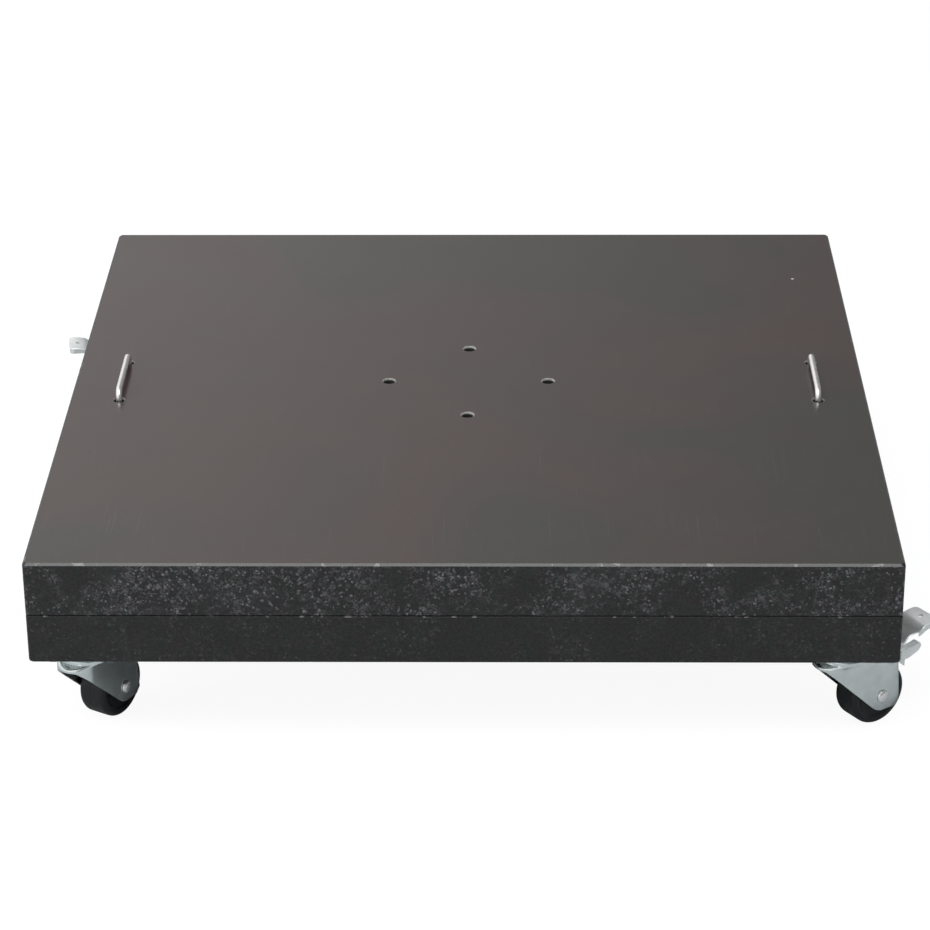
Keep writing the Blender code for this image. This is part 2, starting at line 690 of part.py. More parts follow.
def build_castor(label, side_x, side_y, heading):
    cx, cy = castor_frame(side_x, side_y)
    turn = math.radians(heading)
    fixed = Matrix.Translation((cx, cy, Z_UNDER))
    swivel = fixed @ Matrix.Rotation(turn, 4, "Z")
    pivot = (cx, cy, Z_UNDER)
    axle = swivel @ Vector((TRAIL, 0.0, -AXLE_DROP))
    pin = swivel @ Vector((PIN_X, 0.0, -PIN_DROP))
    name = "castor_" + label
    piece(name + "_top_plate", top_plate(), "zinc_plate", fixed, pivot)
    piece(name + "_ball_race", ball_race(), "zinc_race", fixed, pivot)
    piece(name + "_kingpin", kingpin(), "kingpin_steel", fixed, pivot)
    for number, (x, y) in enumerate(screw_points(), 1):
        place = fixed @ Matrix.Translation((x, y, 0.0))
        piece(name + "_screw_" + str(number), plate_screw(), "screw_zinc", place, (cx + x, cy + y, Z_UNDER))
    piece(name + "_fork", fork(), "zinc_fork", swivel, pivot, 50.0)
    piece(name + "_wheel", moved(wheel(), TRAIL, 0.0, -AXLE_DROP), "wheel_black", swivel, axle)
    axle_rivet = moved(rivet(AXLE_R, FORK_HALF, AXLE_HEAD_R, AXLE_HEAD_T, 16), TRAIL, 0.0, -AXLE_DROP)
    piece(name + "_axle", axle_rivet, "axle_steel", swivel, axle)
    piece(name + "_brake_pedal", brake_pedal(), "zinc_pedal", swivel, pin)
    pin_rivet = moved(rivet(PIN_R, FORK_HALF, PIN_HEAD_R, PIN_HEAD_T, 12), PIN_X, 0.0, -PIN_DROP)
    piece(name + "_brake_pin", pin_rivet, "pin_steel", swivel, pin)


def main():
    clear_scene()
    piece("slab_upper", upper_slab(), "granite_top", None, (0.0, 0.0, Z_TOP))
    piece("slab_lower", lower_slab(), "granite_base", None, (0.0, 0.0, Z_UNDER))
    for label, x, y in bolt_points():
        piece("bolt_insert_" + label, moved(bolt_insert(), x, y), "brass_insert", None, (x, y, Z_TOP))
    for label, side in (("left", -1), ("right", 1)):
        x = side * HANDLE_X
        piece("handle_" + label, moved(handle(), x), "stainless", None, (x, 0.0, Z_TOP))
        for end, sign in (("front", -1), ("back", 1)):
            y = sign * HANDLE_PITCH / 2.0
            piece("handle_" + label + "_collar_" + end, moved(collar(), x, y), "collar_steel", None, (x, y, Z_TOP))
    for label, side_x, side_y, heading in CASTORS:
        build_castor(label, side_x, side_y, heading)


main()
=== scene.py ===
import json
import math

import bmesh
import bpy
from mathutils import Matrix, Vector

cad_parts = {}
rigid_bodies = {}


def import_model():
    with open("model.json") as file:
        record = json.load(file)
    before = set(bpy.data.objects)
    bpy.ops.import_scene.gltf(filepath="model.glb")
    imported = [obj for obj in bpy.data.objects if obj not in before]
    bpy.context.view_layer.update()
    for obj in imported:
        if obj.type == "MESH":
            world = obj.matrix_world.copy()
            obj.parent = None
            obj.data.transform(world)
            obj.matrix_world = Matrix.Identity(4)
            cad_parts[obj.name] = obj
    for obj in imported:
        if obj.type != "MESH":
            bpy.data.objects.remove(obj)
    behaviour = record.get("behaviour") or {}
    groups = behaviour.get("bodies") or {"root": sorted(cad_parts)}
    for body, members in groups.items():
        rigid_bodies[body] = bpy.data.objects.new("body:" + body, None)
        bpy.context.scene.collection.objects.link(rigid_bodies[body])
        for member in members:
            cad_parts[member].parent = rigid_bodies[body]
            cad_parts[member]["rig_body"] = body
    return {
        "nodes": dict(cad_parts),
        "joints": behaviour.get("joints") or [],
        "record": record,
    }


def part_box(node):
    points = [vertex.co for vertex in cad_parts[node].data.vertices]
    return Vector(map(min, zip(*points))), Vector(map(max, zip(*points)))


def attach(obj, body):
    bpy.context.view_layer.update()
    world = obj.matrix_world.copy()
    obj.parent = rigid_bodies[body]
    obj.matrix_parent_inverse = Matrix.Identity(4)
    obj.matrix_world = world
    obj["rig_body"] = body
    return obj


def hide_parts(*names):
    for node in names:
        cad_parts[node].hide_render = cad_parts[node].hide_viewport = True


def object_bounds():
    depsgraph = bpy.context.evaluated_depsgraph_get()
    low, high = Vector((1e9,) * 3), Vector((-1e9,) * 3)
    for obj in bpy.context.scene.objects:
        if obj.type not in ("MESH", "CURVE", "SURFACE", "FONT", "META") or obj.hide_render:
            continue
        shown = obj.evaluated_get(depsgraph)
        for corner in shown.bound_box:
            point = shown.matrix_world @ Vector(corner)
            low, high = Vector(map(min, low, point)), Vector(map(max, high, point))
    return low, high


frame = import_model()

CAD_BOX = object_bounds()
NODES = frame["nodes"]
JOINTS = {joint["name"]: joint for joint in frame["joints"]}

# ---------------------------------------------------------------- places read from the frame
TOP_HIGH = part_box("slab_upper")[1]
BASE_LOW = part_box("slab_lower")[0]
Z_TOP = TOP_HIGH.z
Z_UNDER = BASE_LOW.z
HALF = TOP_HIGH.x
CASTORS = ("front_right", "front_left", "rear_left", "rear_right")

# ---------------------------------------------------------------- fine sizes of the castor pieces
SHEET_T = 0.0022
EDGE_R = 0.00035
CROWN_R = 0.0235
CROWN_ROUND = 0.0021
CROWN_WEB = 0.36 * math.pi       # from straight behind the kingpin to where a leg meets the crown
CROWN_SHARES = (0.26, 0.55, 0.80, 0.90)
CROWN_STEPS = 6
CROWN_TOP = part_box("castor_front_left_ball_race")[0].z - 0.0003 - Z_UNDER
SHOULDER_DROP = 0.0042
SHOULDER_H = 0.0050
SHOULDER_POWER = 2.2
NOSE_OUT = 0.0050
WHEEL_W = 0.0255
WHEEL_GAP = 0.0015
FORK_HALF = WHEEL_W / 2.0 + WHEEL_GAP + SHEET_T
NOSE_X = FORK_HALF - CROWN_R - NOSE_OUT
LEG_BEHIND = 0.0185
LEG_BELOW = 0.0130
LEG_LEAN = 0.0050
LEG_CORNER_R = 0.0050
FOOT_BLEND = 0.0040
FOOT_RISE = 0.0029
AXLE_R = 0.0039
AXLE_HEAD_R = 0.0056
AXLE_HEAD_T = 0.0028
PIN_R = 0.0022
PIN_HEAD_R = 0.0040
PIN_HEAD_T = 0.0015
PIN_BOSS_R = PIN_R + 0.0021
PEDAL_REACH = 0.0525
PEDAL_TOP = 0.0030
PEDAL_HALF = 0.0145
PEDAL_NECK = 0.0070
PEDAL_T = 0.0020
PEDAL_CORNER = 0.0040
PEDAL_ROUND = 0.0009
PEDAL_INNER = FORK_HALF - SHEET_T - 0.0006
RIM_T = 0.0016
EYE_R = 0.0022
EYE_BACK = 0.0085
PEDAL_PRESS = math.radians(JOINTS["castor_front_left_brake_press"]["range_deg"][1])
SHOE_GAP = 0.0004
FACE_GAP = 0.0003
ROD_R = 0.00275
ROD_BEND = 0.0080

# ---------------------------------------------------------------- mesh cleaning
MERGE = 0.000004
PEDAL_MERGE = 0.00002
SPECK_FACES = 12


def joint_point(name):
    """A point on the joint's axis."""
    return Vector(JOINTS[name]["pos_m"])


SWIVEL = joint_point("castor_front_left_swivel_turn")
AXLE = joint_point("castor_front_left_wheel_spin")
PIN = joint_point("castor_front_left_brake_press")
TRAIL = (AXLE - SWIVEL).xy.length
AXLE_DROP = SWIVEL.z - AXLE.z
WHEEL_R = AXLE.z
PIN_X = (PIN - SWIVEL).xy.length
PIN_DROP = SWIVEL.z - PIN.z
FORK_REAR = TRAIL + LEG_BEHIND


# ---------------------------------------------------------------- mesh helpers
def as_object(bm, name, look, smooth=40.0, centre=None):
    """Object from a bmesh. An open sheet's faces are turned away from centre."""
    limit = math.radians(smooth)
    bmesh.ops.recalc_face_normals(bm, faces=bm.faces)
    if centre is not None:
        away = sum(f.calc_area() * f.normal.dot(f.calc_center_median() - Vector(centre)) for f in bm.faces)
        if away < 0.0:
            bmesh.ops.reverse_faces(bm, faces=bm.faces)
    for face in bm.faces:
        face.smooth = True
    for edge in bm.edges:
        if len(edge.link_faces) == 2 and edge.calc_face_angle(0.0) > limit:
            edge.smooth = False
    mesh = bpy.data.meshes.new(name)
    bm.to_mesh(mesh)
    bm.free()
    mesh.materials.append(look)
    ob = bpy.data.objects.new(name, mesh)
    bpy.context.scene.collection.objects.link(ob)
    return ob


def grid(rows, closed=False):
    """Quads between equal rows of points."""
    bm = bmesh.new()
    verts = [[bm.verts.new(p) for p in row] for row in rows]
    count = len(verts[0])
    last = count if closed else count - 1
    for low, high in zip(verts, verts[1:]):
        for i in range(last):
            j = (i + 1) % count
            bm.faces.new((low[i], low[j], high[j], high[i]))
    return bm


def circle(radius, z, count):
    step = 2.0 * math.pi / count
    return [Vector((radius * math.cos(i * step), radius * math.sin(i * step), z)) for i in range(count)]


def spun(profile, count):
    """Spin (z, radius) points about Z. The ends are capped unless the profile is a closed ring."""
    bm = grid([circle(r, z, count) for z, r in profile], closed=True)
    if profile[0] == profile[-1]:
        bmesh.ops.remove_doubles(bm, verts=bm.verts, dist=0.0000005)
    else:
        bmesh.ops.holes_fill(bm, edges=[e for e in bm.edges if e.is_boundary], sides=count + 1)
    return bm


def along_y(bm, x=0.0, z=0.0):
    bmesh.ops.rotate(bm, verts=bm.verts, cent=(0, 0, 0), matrix=Matrix.Rotation(-math.pi / 2.0, 3, "X"))
    bmesh.ops.translate(bm, verts=bm.verts, vec=(x, 0.0, z))
    return bm


def smooth_step(t):
    t = min(max(t, 0.0), 1.0)
    return t * t * (3.0 - 2.0 * t)


def rounded(points, radius, steps=5):
    """Round the inner corners of a 2D polyline with arcs that start radius away from each corner."""
    out = [points[0]]
    for before, corner, after in zip(points, points[1:], points[2:]):
        a, b, c = Vector(before), Vector(corner), Vector(after)
        reach = min(radius, (a - b).length * 0.45, (c - b).length * 0.45)
        start = b + (a - b).normalized() * reach
        end = b + (c - b).normalized() * reach
        for k in range(steps + 1):
            t = k / steps
            out.append(tuple(start * (1 - t) ** 2 + b * 2 * t * (1 - t) + end * t ** 2))
    out.append(points[-1])
    return out


def curve_through(points, count):
    """Points along a smooth curve through the given ones (Catmull-Rom), evenly shared between them."""
    vectors = [Vector(p) for p in points]
    padded = [2 * vectors[0] - vectors[1]] + vectors + [2 * vectors[-1] - vectors[-2]]
    out = []
    for k in range(count):
        u = k / (count - 1) * (len(vectors) - 1)
        i = min(int(u), len(vectors) - 2)
        t = u - i
        p0, p1, p2, p3 = padded[i:i + 4]
        out.append(0.5 * (2 * p1 + (p2 - p0) * t + (2 * p0 - 5 * p1 + 4 * p2 - p3) * t * t
                          + (3 * p1 - p0 - 3 * p2 + p3) * t ** 3))
    return out


def add_modifier(ob, kind, **values):
    mod = ob.modifiers.new(kind.lower(), kind)
    for key, value in values.items():
        setattr(mod, key, value)
    return mod


def add_bevel(ob, width, segments=3, angle=35.0):
    return add_modifier(ob, "BEVEL", width=width, segments=segments, limit_method="ANGLE",
                        angle_limit=math.radians(angle), harden_normals=False)


# ---------------------------------------------------------------- material helpers
class Shader:
    """A Principled material with short calls for the nodes that feed it."""

    def __init__(self, name, colour=(0.5, 0.5, 0.5), metallic=0.0, roughness=0.5, **sockets):
        self.mat = bpy.data.materials.new(name)
        self.mat.use_nodes = True
        self.tree = self.mat.node_tree
        self.main = self.tree.nodes["Principled BSDF"]
        self.main.inputs["Base Color"].default_value = (*colour, 1.0)
        self.main.inputs["Metallic"].default_value = metallic
        self.main.inputs["Roughness"].default_value = roughness
        for key, value in sockets.items():
            self.main.inputs[key.replace("_", " ")].default_value = value
        self.place = self.tree.nodes.new("ShaderNodeTexCoord").outputs["Object"]

    def node(self, kind, inputs=None, **values):
        node = self.tree.nodes.new(kind)
        for key, value in values.items():
            setattr(node, key, value)
        for key, value in (inputs or {}).items():
            if isinstance(value, bpy.types.NodeSocket):
                self.tree.links.new(value, node.inputs[key])
            else:
                node.inputs[key].default_value = value
        return node

    def noise(self, scale, detail=2.0, rough=0.5, place=None, distortion=0.0):
        return self.node("ShaderNodeTexNoise", {
            "Vector": place or self.place, "Scale": scale, "Detail": detail, "Roughness": rough,
            "Distortion": distortion}).outputs["Fac"]

    def cells(self, scale, feature="F1", output="Distance", place=None):
        return self.node("ShaderNodeTexVoronoi", {"Vector": place or self.place, "Scale": scale},
                         feature=feature).outputs[output]

    def stretched(self, scale):
        return self.node("ShaderNodeMapping", {"Vector": self.place, "Scale": scale}).outputs["Vector"]

    def ramp(self, value, low, high, to_low=0.0, to_high=1.0, smooth=True):
        kind = "SMOOTHSTEP" if smooth else "LINEAR"
        return self.node("ShaderNodeMapRange", {
            "Value": value, "From Min": low, "From Max": high, "To Min": to_low, "To Max": to_high},
            interpolation_type=kind, clamp=True).outputs["Result"]

    def math(self, operation, a, b=0.0):
        return self.node("ShaderNodeMath", {0: a, 1: b}, operation=operation).outputs[0]

    def mix(self, factor, a, b, blend="MIX"):
        """Mix two colours, given as sockets or as (r, g, b)."""
        node = self.tree.nodes.new("ShaderNodeMix")
        node.data_type = "RGBA"
        node.blend_type = blend
        for key, value in ((0, factor), (6, a), (7, b)):
            if isinstance(value, bpy.types.NodeSocket):
                self.tree.links.new(value, node.inputs[key])
            elif key == 0:
                node.inputs[key].default_value = value
            else:
                node.inputs[key].default_value = (*value, 1.0)
        return node.outputs[2]

    def split(self, vector):
        return self.node("ShaderNodeSeparateXYZ", {"Vector": vector}).outputs

    def normal(self):
        return self.split(self.node("ShaderNodeNewGeometry").outputs["Normal"])

    def bump(self, height, distance, strength=1.0, after=None):
        inputs = {"Height": height, "Distance": distance, "Strength": strength}
        if after is not None:
            inputs["Normal"] = after
        return self.node("ShaderNodeBump", inputs).outputs["Normal"]

    def set(self, **sockets):
        for key, value in sockets.items():
            self.tree.links.new(value, self.main.inputs[key.replace("_", " ")])
        return self.mat


# ---------------------------------------------------------------- granite
def granite(name, dark, crystal, crystal_share, edge_rough, top_red, top_green):
    """Granite with a polished top, sawn and flamed sides that show their crystals, and drilled holes of
    unpolished stone whose walls are painted near black further down as painted shade.
    """
    s = Shader(name, roughness=0.4, IOR=1.46)
    x, y, z = s.split(s.place)
    nx, ny, nz = s.normal()
    is_top = s.ramp(nz, 0.90, 0.98)
    reach = s.math("MAXIMUM", s.math("ABSOLUTE", x), s.math("ABSOLUTE", y))
    inside = s.ramp(reach, HALF - 0.010, HALF - 0.012)
    in_hole = s.math("MULTIPLY", inside, s.math("SUBTRACT", 1.0, s.ramp(s.math("ABSOLUTE", nz), 0.90, 0.98)))

    chamfer = s.ramp(nz, 0.35, 0.60)
    bend = s.node("ShaderNodeTexNoise", {"Vector": s.place, "Scale": 260.0, "Detail": 2.0}).outputs["Color"]
    bend = s.node("ShaderNodeVectorMath", {0: bend, 1: (0.5, 0.5, 0.5)}, operation="SUBTRACT").outputs[0]
    bent = s.node("ShaderNodeVectorMath", {0: bend, 1: (0.011, 0.011, 0.011), 2: s.place},
                  operation="MULTIPLY_ADD").outputs[0]
    grain_pick = s.split(s.cells(330.0, output="Color", place=bent))[0]
    grain_core = s.ramp(s.cells(330.0, place=bent), 0.74, 0.40)
    fine_pick = s.split(s.cells(720.0, output="Color"))[1]
    clusters = s.ramp(s.noise(24.0, 3.0, 0.62, distortion=0.4), 0.33, 0.62)
    clusters = s.math("MULTIPLY", clusters, s.math("SUBTRACT", 1.0, chamfer))
    worm = s.math("ABSOLUTE", s.math("SUBTRACT", s.noise(190.0, 2.0, 0.55, distortion=1.4), 0.5))
    curls = s.math("MULTIPLY", s.ramp(worm, 0.050, 0.010), s.ramp(s.noise(110.0, 1.0), 0.40, 0.60, 0.0, 0.7))
    flakes = s.math("MULTIPLY", s.ramp(grain_pick, 1.0 - crystal_share, 1.0), grain_core)
    bright = s.math("MULTIPLY", s.math("MAXIMUM", curls, flakes), clusters)
    glint = s.math("MULTIPLY", s.ramp(fine_pick, 1.0 - 0.25 * crystal_share, 1.0), clusters)
    tint = s.mix(s.ramp(s.noise(95.0, 1.0), 0.40, 0.60), (dark[0] * 0.85, dark[1] * 1.15, dark[2] * 1.05),
                 (dark[0] * 1.12, dark[1] * 0.98, dark[2] * 1.15))
    mottle = s.mix(s.ramp(s.noise(420.0, 3.0, 0.7), 0.35, 0.70), (0.55, 0.55, 0.55), (1.60, 1.60, 1.60))
    side = s.mix(1.0, tint, mottle, "MULTIPLY")
    side = s.mix(s.math("MULTIPLY", bright, 0.80), side, crystal)
    spark = (crystal[0] * 1.8, crystal[1] * 1.8, crystal[2] * 1.9)
    side = s.mix(s.math("MULTIPLY", glint, 0.75), side, spark)
    smudge = s.ramp(s.noise(17.0, 5.0, 0.65, distortion=0.5), 0.50, 0.78, 0.0, 0.35)
    side = s.mix(smudge, side, (crystal[0] * 0.45, crystal[1] * 0.45, crystal[2] * 0.45))
    widest = s.math("MAXIMUM", s.math("MAXIMUM", s.math("ABSOLUTE", nx), s.math("ABSOLUTE", ny)),
                    s.math("ABSOLUTE", nz))
    chips = s.math("MULTIPLY", s.ramp(widest, 0.96, 0.88), s.ramp(s.noise(85.0, 3.0, 0.6), 0.60, 0.66))
    chips = s.math("MULTIPLY", chips, s.math("SUBTRACT", 1.0, inside))
    side = s.mix(s.math("MULTIPLY", chips, 0.8), side, (0.13, 0.13, 0.128))

    blotch = s.ramp(s.noise(3.6, 2.0, 0.40, distortion=0.8), 0.42, 0.68)
    top = s.mix(blotch, top_red, top_green)
    top = s.mix(s.ramp(s.noise(15.0, 3.0, 0.6), 0.35, 0.75, 0.0, 0.30), top, (0.034, 0.031, 0.030))
    top = s.mix(s.math("MULTIPLY", s.ramp(grain_pick, 0.88, 1.0), 0.10), top, (0.075, 0.075, 0.075))
    scratch = s.ramp(s.noise(1.0, 0.0, 0.5, s.stretched((700.0, 9.0, 1.0))), 0.775, 0.80)
    top = s.mix(s.math("MULTIPLY", scratch, 0.10), top, (0.12, 0.11, 0.11))
    speck = s.node("ShaderNodeVectorMath", {0: s.place, 1: (0.306, 0.235, Z_TOP)},
                   operation="DISTANCE").outputs["Value"]
    top = s.mix(s.ramp(speck, 0.0018, 0.0010), top, (0.40, 0.40, 0.38))

    body = s.mix(is_top, side, top)
    chalk = s.ramp(s.noise(700.0, 2.0), 0.4, 0.6)
    raw_stone_and_hole_shade = s.mix(chalk, (0.15, 0.15, 0.145), (0.27, 0.27, 0.26))
    # Painted shade: below the rim the hole wall turns near black, standing in for the shadow inside the
    # drilled hole.
    hole_painted_shade = s.mix(chalk, (0.006, 0.006, 0.006), (0.012, 0.012, 0.012))
    raw_stone_and_hole_shade = s.mix(s.ramp(z, Z_TOP - 0.0024, Z_TOP - 0.0012), hole_painted_shade, raw_stone_and_hole_shade)
    body = s.mix(in_hole, body, raw_stone_and_hole_shade)

    rough_top = s.ramp(s.noise(11.0, 4.0, 0.6), 0.3, 0.7, 0.15, 0.23)
    rough_side = s.ramp(s.noise(300.0, 2.0), 0.3, 0.7, 0.40, 0.62)
    rough_edge = s.node("ShaderNodeMix", {0: chamfer, 2: rough_side, 3: edge_rough}).outputs[0]
    rough = s.node("ShaderNodeMix", {0: is_top, 2: rough_edge, 3: rough_top}).outputs[0]
    rough = s.node("ShaderNodeMix", {0: in_hole, 2: rough, 3: 0.85}).outputs[0]
    pits = s.math("ADD", s.noise(650.0, 3.0, 0.65), s.math("MULTIPLY", grain_pick, 0.4))
    depth = s.math("MULTIPLY", pits, s.math("SUBTRACT", 1.0, s.math("MAXIMUM", is_top, chamfer)))
    wave = s.bump(s.noise(7.0, 2.0, 0.5), 0.004, 0.04)
    return s.set(Base_Color=body, Roughness=rough, Normal=s.bump(depth, 0.00012, 0.5, wave))


# ---------------------------------------------------------------- metals, rubber
def metal(name, colour, shade, rough_low, rough_high, wobble=0.00012, grain=(1.0, 1.0, 1.0), metallic=1.0):
    """Plated or polished metal: cloudy tint, uneven gloss, a slightly wavy surface and fine marks."""
    s = Shader(name, colour, metallic, rough_low)
    cloud = s.ramp(s.noise(55.0, 3.0, 0.55), 0.35, 0.68)
    marks = s.ramp(s.noise(260.0, 3.0, 0.6, s.stretched(grain)), 0.58, 0.72)
    tone = s.mix(cloud, colour, shade)
    tone = s.mix(s.math("MULTIPLY", marks, 0.16), tone, (shade[0] * 0.75, shade[1] * 0.75, shade[2] * 0.75))
    rough = s.ramp(s.noise(120.0, 3.0, 0.6), 0.3, 0.7, rough_low, rough_high)
    wave = s.bump(s.noise(70.0, 2.0, 0.4), wobble, 0.5)
    fine = s.bump(s.noise(1500.0, 2.0, 0.6, s.stretched(grain)), 0.000004, 0.4, wave)
    return s.set(Base_Color=tone, Roughness=rough, Normal=fine)


def rubber():
    """Black moulded tread: satin, with a little dust and a fine grain."""
    s = Shader("wheel_black", (0.006, 0.007, 0.008), 0.0, 0.38, IOR=1.42)
    dust = s.ramp(s.noise(160.0, 4.0, 0.65), 0.52, 0.78)
    scuff = s.ramp(s.noise(420.0, 2.0, 0.5), 0.62, 0.72)
    tone = s.mix(s.math("MULTIPLY", dust, 0.25), (0.005, 0.006, 0.007), (0.022, 0.022, 0.021))
    tone = s.mix(s.math("MULTIPLY", scuff, 0.15), tone, (0.045, 0.045, 0.043))
    rough = s.ramp(s.noise(220.0, 3.0, 0.6), 0.3, 0.7, 0.30, 0.46)
    return s.set(Base_Color=tone, Roughness=rough, Normal=s.bump(s.noise(2200.0, 2.0), 0.00002, 0.4))


def looks():
    zinc = (0.72, 0.76, 0.78)
    zinc_shade = (0.55, 0.60, 0.62)
    return {
        "granite_top": granite("granite_top", (0.0088, 0.0088, 0.0085), (0.092, 0.092, 0.099), 0.34, 0.26,
                               (0.038, 0.027, 0.026), (0.028, 0.028, 0.025)),
        "granite_base": granite("granite_base", (0.0078, 0.0078, 0.0076), (0.030, 0.031, 0.031), 0.20, 0.80,
                                (0.028, 0.026, 0.025), (0.024, 0.025, 0.024)),
        "brass_insert": metal("brass_insert", (0.50, 0.46, 0.38), (0.34, 0.31, 0.26), 0.35, 0.50),
        "stainless": metal("stainless", (0.94, 0.93, 0.91), (0.85, 0.84, 0.83), 0.26, 0.36, 0.00004,
                           (8.0, 0.5, 8.0)),
        "collar_steel": metal("collar_steel", (0.50, 0.50, 0.51), (0.36, 0.36, 0.37), 0.30, 0.45),
        "zinc_plate": metal("zinc_plate", zinc, zinc_shade, 0.25, 0.38),
        "zinc_race": metal("zinc_race", (0.60, 0.62, 0.63), (0.42, 0.44, 0.45), 0.28, 0.40),
        "kingpin_steel": metal("kingpin_steel", (0.62, 0.64, 0.65), (0.45, 0.47, 0.48), 0.25, 0.38),
        "zinc_fork": metal("zinc_fork", (0.78, 0.85, 0.84), (0.68, 0.75, 0.75), 0.20, 0.27, 0.00005),
        "wheel_black": rubber(),
        "axle_steel": metal("axle_steel", (0.88, 0.89, 0.89), (0.76, 0.78, 0.79), 0.20, 0.30, 0.00004,
                            metallic=0.85),
        "zinc_pedal": metal("zinc_pedal", (0.84, 0.87, 0.87), (0.72, 0.77, 0.78), 0.34, 0.46, 0.00006,
                            metallic=0.72),
        "pin_steel": metal("pin_steel", (0.74, 0.75, 0.76), (0.58, 0.60, 0.61), 0.20, 0.30),
        "screw_zinc": metal("screw_zinc", (0.66, 0.67, 0.64), (0.50, 0.52, 0.50), 0.25, 0.40),
    }


# ---------------------------------------------------------------- castor pieces, in the castor's own frame
# Z = 0 at the slab's underside, +X is the trailing direction, the Z axis is the swivel.
def leg_bottom(x):
    """Height of the fork's lower edge at x: a slope from the nose, then the round end of the leg."""
    brow_x = NOSE_X - FORK_HALF - 0.0002
    brow_z = CROWN_TOP - SHOULDER_DROP - 0.65 * SHOULDER_H
    low = -AXLE_DROP - LEG_BELOW
    foot_x, foot_z = TRAIL - 2.0 * FOOT_BLEND, low + FOOT_RISE
    slope = brow_z + (foot_z - brow_z) * (x - brow_x) / (foot_x - brow_x)
    if x <= foot_x:
        return slope
    if x <= TRAIL - FOOT_BLEND:
        return foot_z + (low - foot_z) * smooth_step((x - foot_x) / FOOT_BLEND)
    over = max(x - (FORK_REAR - LEG_CORNER_R), 0.0)
    return low + LEG_CORNER_R - math.sqrt(max(LEG_CORNER_R ** 2 - over ** 2, 0.0))


def fork_column(x, y, crown_x, crown_y, foot):
    """Points of the fork's outer face from the kingpin hole, over the crown and shoulder, down to foot."""
    start = CROWN_TOP - SHOULDER_DROP
    edge = Vector((crown_x, crown_y))
    column = []
    for share in CROWN_SHARES:
        p = edge * share
        column.append(Vector((p.x, p.y, CROWN_TOP)))
    for k in range(CROWN_STEPS):
        angle = k * math.pi / 10.0
        p = edge * (0.91 + 0.09 * math.sin(angle))
        column.append(Vector((p.x, p.y, CROWN_TOP - CROWN_ROUND * (1.0 - math.cos(angle)))))
    column.append(Vector((edge.x, edge.y, start)))
    # The rows are close together in the shoulder and further apart down the leg.
    depth = start - min(foot, start - SHOULDER_H - 0.0006)
    even = min(max((SHOULDER_H / depth - 0.070) / 0.342, 0.03), 1.0)
    rows = 17
    for k in range(1, rows + 1):
        t = k / rows
        drop = depth * (even * t + (1.0 - even) * t ** 3)
        left = max(1.0 - drop / SHOULDER_H, 0.0)
        p = edge.lerp(Vector((x, y)), 1.0 - left ** SHOULDER_POWER)
        column.append(Vector((p.x, p.y, start - drop)))
    return column


def fork_outline():
    """(x, y, crown x, crown y) from the rear of one leg, round the nose, to the rear of the other."""
    side, arc = 12, 28
    points = []
    for k in range(side):
        t = 1.0 - k / side
        turn = math.pi / 2.0 - CROWN_WEB * t
        points.append((NOSE_X + (FORK_REAR - NOSE_X) * t, FORK_HALF, turn))
    for k in range(arc + 1):
        turn = math.pi / 2.0 + math.pi * k / arc
        points.append((NOSE_X + FORK_HALF * math.cos(turn), FORK_HALF * math.sin(turn), turn))
    for k in range(1, side + 1):
        t = k / side
        turn = 1.5 * math.pi + CROWN_WEB * t
        points.append((NOSE_X + (FORK_REAR - NOSE_X) * t, -FORK_HALF, turn))
    return [(x, y, CROWN_R * math.cos(turn), CROWN_R * math.sin(turn)) for x, y, turn in points]


def fork_mesh():
    """One pressed sheet: crown, shoulder, nose and two legs."""
    columns = []
    for x, y, crown_x, crown_y in fork_outline():
        column = fork_column(x, y, crown_x, crown_y, leg_bottom(x))
        lean_from = CROWN_TOP - SHOULDER_DROP
        for p in column:
            if p.x > TRAIL and p.z < lean_from:
                rise = (p.z + AXLE_DROP + LEG_BELOW) / (AXLE_DROP + LEG_BELOW)
                share = (p.x - TRAIL) / LEG_BEHIND
                p.x -= LEG_LEAN * max(rise, 0.0) * share
        columns.append(column)
    bm = grid(columns)
    back = 10
    first = math.pi / 2.0 - CROWN_WEB
    crown_rows = len(CROWN_SHARES) + CROWN_STEPS + 1
    crown = []
    for k in range(back + 1):
        turn = first - 2.0 * first * k / back
        column = fork_column(0, 0, CROWN_R * math.cos(turn), CROWN_R * math.sin(turn), 0.0)
        crown.append(column[:crown_rows])
    patch = grid(crown)
    mesh = bpy.data.meshes.new("patch")
    patch.to_mesh(mesh)
    patch.free()
    bm.from_mesh(mesh)
    bpy.data.meshes.remove(mesh)
    bmesh.ops.remove_doubles(bm, verts=bm.verts, dist=0.00002)
    return bm


def wheel_mesh():
    """Tread, flanks and hub as one ring round the axle, along Y."""
    half = WHEEL_W / 2.0
    boss = FORK_HALF - SHEET_T - 0.0005
    side = [
        (boss, AXLE_R + 0.0002), (boss, AXLE_R + 0.0036), (boss - 0.0004, AXLE_R + 0.0041),
        (half - 0.0013, AXLE_R + 0.0049), (half - 0.0019, AXLE_R + 0.0066),
        (half - 0.0021, WHEEL_R - 0.0094), (half - 0.0018, WHEEL_R - 0.0078),
        (half - 0.0006, WHEEL_R - 0.0068), (half - 0.0001, WHEEL_R - 0.0060),
        (half, WHEEL_R - 0.0046), (half - 0.0003, WHEEL_R - 0.0026), (half - 0.0014, WHEEL_R - 0.0010),
        (half - 0.0032, WHEEL_R - 0.0001), (half - 0.0050, WHEEL_R), (0.0004, WHEEL_R),
        (0.0002, WHEEL_R - 0.00012),
    ]
    outline = rounded(side, 0.0006, 3)
    ring = outline + [(-a, r) for a, r in reversed(outline)]
    return along_y(spun(ring + [ring[0]], 96))


def rivet_mesh(radius, head_r, head_t):
    """A pin with a domed head at each end, along Y."""
    start = FORK_HALF + FACE_GAP
    side = [(start, radius), (start, head_r), (start + head_t * 0.18, head_r)]
    for k in range(1, 9):
        angle = k * math.pi / 18.0
        side.append((start + head_t * (0.18 + 0.82 * math.sin(angle)), head_r * math.cos(angle)))
    side.append((start + head_t, head_r * 0.05))
    return along_y(spun([(-a, r) for a, r in reversed(side)] + side, 40))


